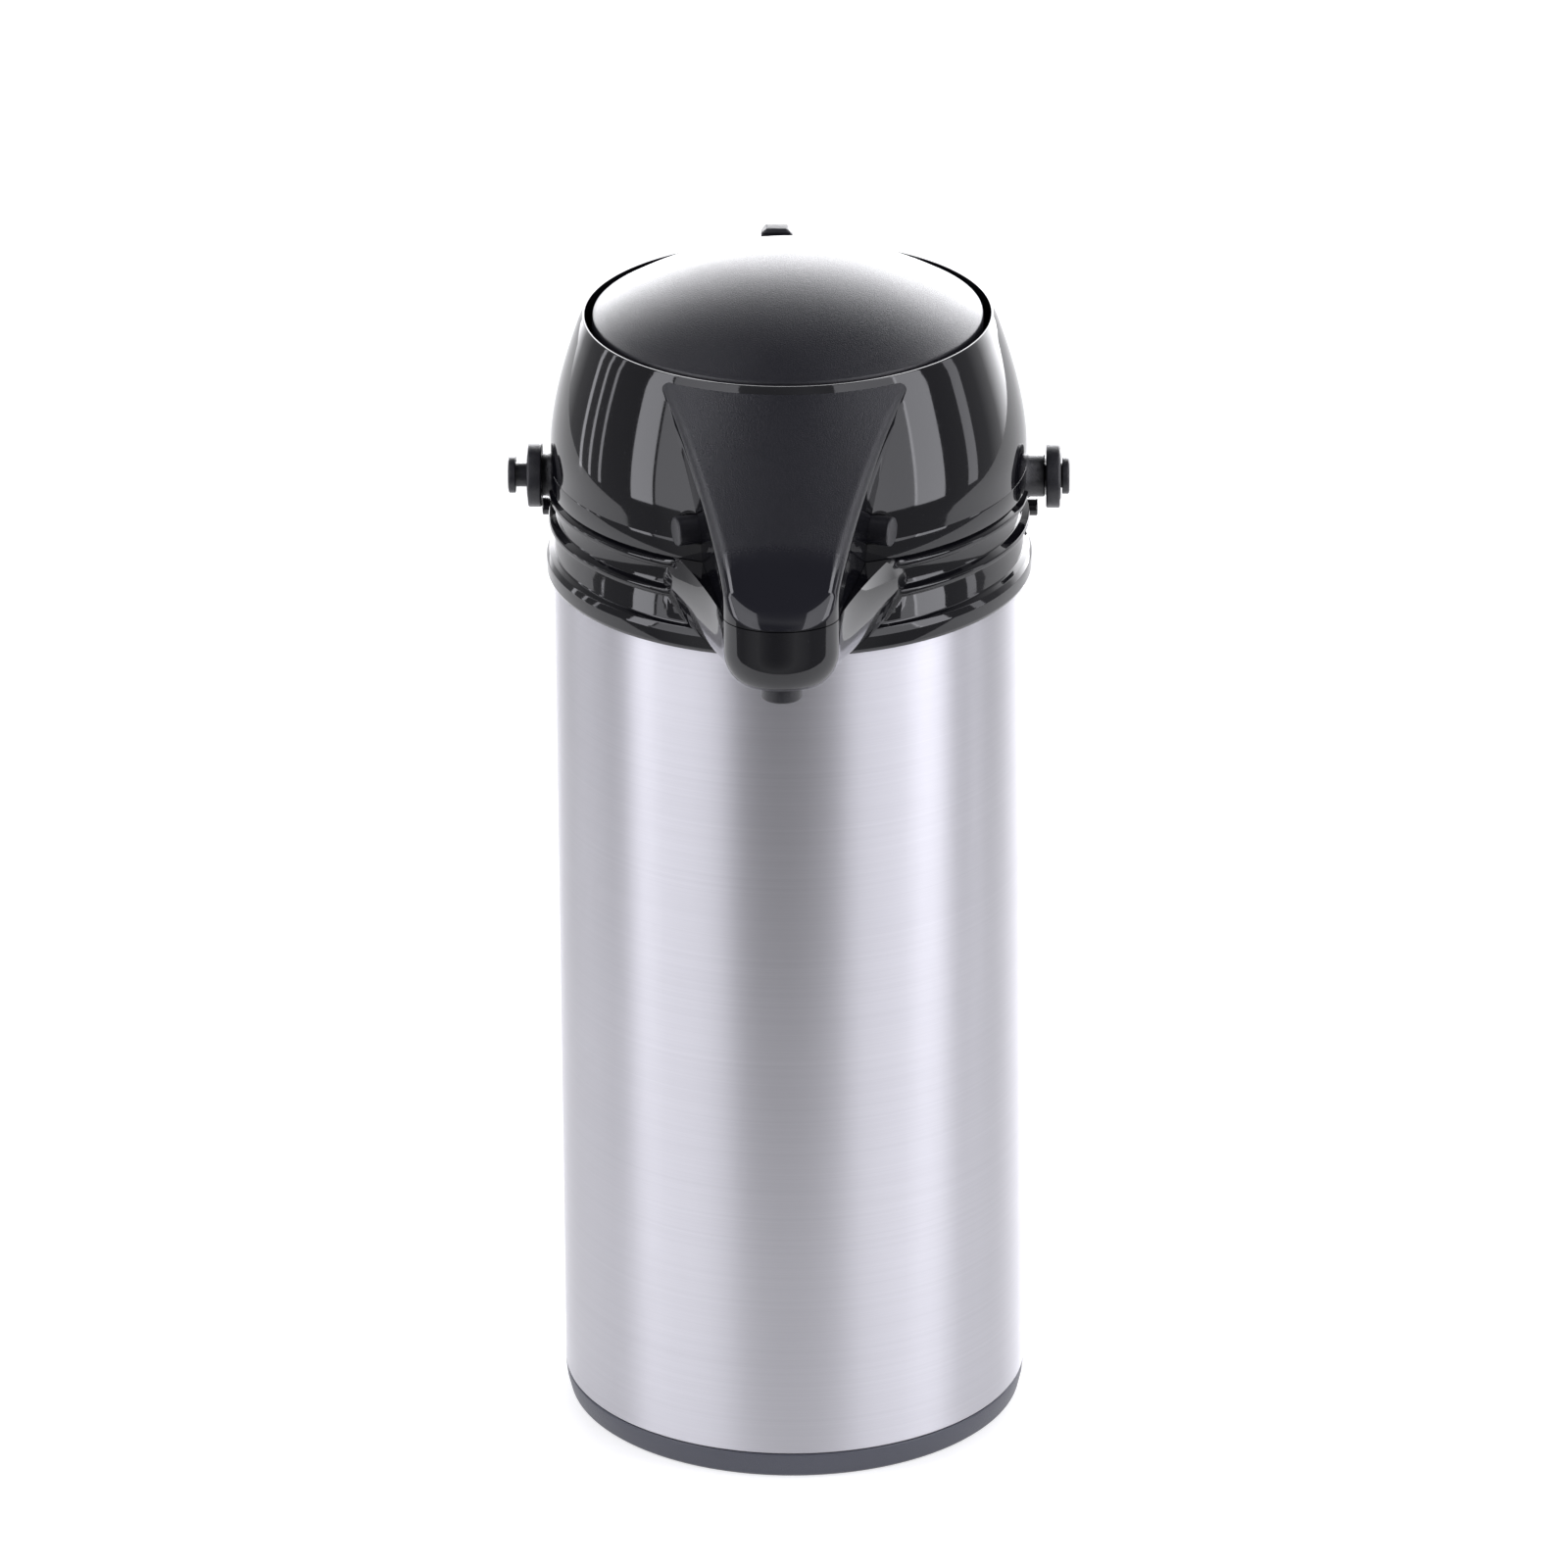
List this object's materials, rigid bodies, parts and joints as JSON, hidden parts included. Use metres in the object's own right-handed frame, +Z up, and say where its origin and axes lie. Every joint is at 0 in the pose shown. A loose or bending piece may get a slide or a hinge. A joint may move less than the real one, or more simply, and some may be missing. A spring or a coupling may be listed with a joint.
{
  "type": "thermal coffee airpot",
  "caption": "Pump vacuum flask with a brushed steel body, black ribbed collar, hinged pump lid with spout, push dome, squeeze buttons, lock and swinging bail.",
  "frame": {"origin": "on the flask's axis, on the flat underside it stands on", "axes": "+Z up along the flask's axis, -Y towards the spout, +X to the right as seen from the spout's side"},
  "size_m": [0.1616, 0.217, 0.3555],
  "materials": {
    "steel": "fine circumferential brushing, satin",
    "glossBlack": "high gloss moulded ABS",
    "satinBlack": "fine satin moulded texture",
    "baseBlack": "satin",
    "glass": "silvered vacuum glass",
    "rubber": "matte",
    "silicone": "matte, food grade",
    "whitePlastic": "satin polypropylene",
    "springSteel": "bright drawn wire"
  },
  "bodies": {
    "flask": {"base_ring": "baseBlack", "base_plate": "baseBlack", "liner_cushion": "rubber", "steel_body": "steel", "glass_liner": "glass", "neck_seal": "rubber", "collar": "glossBlack", "handle_pin_right": "satinBlack", "handle_pin_left": "satinBlack", "dip_tube": "whitePlastic", "tube_coupling": "rubber", "outlet_pipe": "whitePlastic", "pipe_seal": "silicone", "nozzle": "satinBlack", "hinge_pin": "springSteel"},
    "lid": {"lid_shell": "glossBlack", "lid_base": "satinBlack", "lid_gasket": "silicone", "lid_screw_1": "springSteel", "lid_screw_2": "springSteel", "lid_screw_3": "springSteel", "lid_screw_4": "springSteel", "bellows": "rubber", "return_spring": "springSteel"},
    "push_button": {"push_dome": "satinBlack", "bellows_plate": "whitePlastic", "intake_valve": "silicone"},
    "lock": {"lock_slider": "satinBlack"},
    "release_right": {"release_button_right": "satinBlack"},
    "release_left": {"release_button_left": "satinBlack"},
    "handle": {"handle_bail": "satinBlack"}
  },
  "joints": [
    {"name": "lid_hinge", "type": "hinge", "parent": "flask", "child": "lid", "pos_m": [0, 0.0715, 0.293], "axis": [-1, 0, 0], "range_deg": [0, 95]},
    {"name": "dome_press", "type": "slide", "parent": "lid", "child": "push_button", "axis": [0, 0, -1], "range_m": [0, 0.018], "stiffness_N_per_m": 300, "springref_m": -0.01, "deforming": ["bellows", "return_spring"]},
    {"name": "lock_slide", "type": "slide", "parent": "lid", "child": "lock", "axis": [-1, 0, 0], "range_m": [-0.009, 0]},
    {"name": "release_right_press", "type": "slide", "parent": "lid", "child": "release_right", "axis": [-0.9397, 0.342, 0], "range_m": [0, 0.003], "stiffness_N_per_m": 400, "springref_m": -0.004},
    {"name": "release_left_press", "type": "slide", "parent": "lid", "child": "release_left", "axis": [0.9397, 0.342, 0], "range_m": [0, 0.003], "stiffness_N_per_m": 400, "springref_m": -0.004},
    {"name": "handle_swing", "type": "hinge", "parent": "flask", "child": "handle", "pos_m": [0, 0, 0.289], "axis": [1, 0, 0], "range_deg": [0, 170]}
  ]
}
